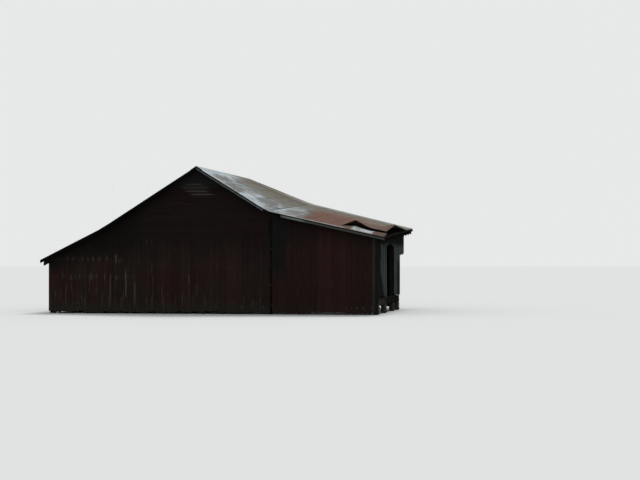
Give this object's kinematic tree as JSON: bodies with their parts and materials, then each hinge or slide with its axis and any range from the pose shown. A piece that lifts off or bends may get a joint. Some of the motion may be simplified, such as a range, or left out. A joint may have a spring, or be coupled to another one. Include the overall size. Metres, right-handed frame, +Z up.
{
  "type": "small livestock barn with side sheds",
  "caption": "Timber barn with upright board walls, a lap-sided gable and a bell-cast corrugated metal roof over a middle part and two side sheds, open at one rear corner.",
  "frame": {"origin": "on the ground, at the centre of the barn's overall box, roof overhangs included", "axes": "+X runs across the gable front, from the low left shed towards the wide right shed; +Y runs from the front gable to the back, along the ridge; +Z is up"},
  "size_m": [11.42, 7.8, 4.7999],
  "materials": {
    "red_boards": "flat barn-red paint, weathered, grey wood showing where it has worn off",
    "grey_boards": "unpainted softwood, weathered silver grey",
    "frame_timber": "rough sawn, dry and dark with age",
    "galvanised_roof": "dull galvanised corrugated sheet with rust spreading from laps and nails",
    "rusty_roof": "corrugated sheet with its zinc gone, brown and reddish rust",
    "field_stone": "rough field stone"
  },
  "bodies": {
    "root": {"front_wall_left": "red_boards", "front_wall_main": "red_boards", "front_gable": "red_boards", "front_wall_right": "red_boards", "back_wall_left": "red_boards", "back_wall_main": "red_boards", "back_gable": "red_boards", "back_wall_right": "red_boards", "left_wall": "red_boards", "front_corner_boards": "grey_boards", "right_wall_front": "grey_boards", "right_wall_pier": "grey_boards", "door_head_boards": "grey_boards", "hanging_boards": "grey_boards", "front_rake_boards": "grey_boards", "back_rake_boards": "grey_boards", "left_wall_posts": "frame_timber", "left_main_posts": "frame_timber", "right_main_posts": "frame_timber", "right_wall_posts": "frame_timber", "left_wall_plate": "frame_timber", "left_main_plate": "frame_timber", "right_main_plate": "frame_timber", "right_wall_plate": "frame_timber", "tie_beams": "frame_timber", "ridge_board": "frame_timber", "front_girts": "frame_timber", "back_girts": "frame_timber", "side_girts": "frame_timber", "gable_studs": "frame_timber", "left_upper_rafters": "frame_timber", "left_lower_rafters": "frame_timber", "right_upper_rafters": "frame_timber", "right_lower_rafters": "frame_timber", "left_upper_purlins": "frame_timber", "left_lower_purlins": "frame_timber", "right_upper_purlins": "frame_timber", "right_lower_purlins": "frame_timber", "right_sill": "frame_timber", "left_upper_roof": "galvanised_roof", "left_lower_roof": "galvanised_roof", "right_upper_roof": "galvanised_roof", "ridge_cap": "galvanised_roof", "right_lower_roof": "rusty_roof", "lifted_sheet": "rusty_roof", "sill_stones": "field_stone"}
  },
  "joints": []
}
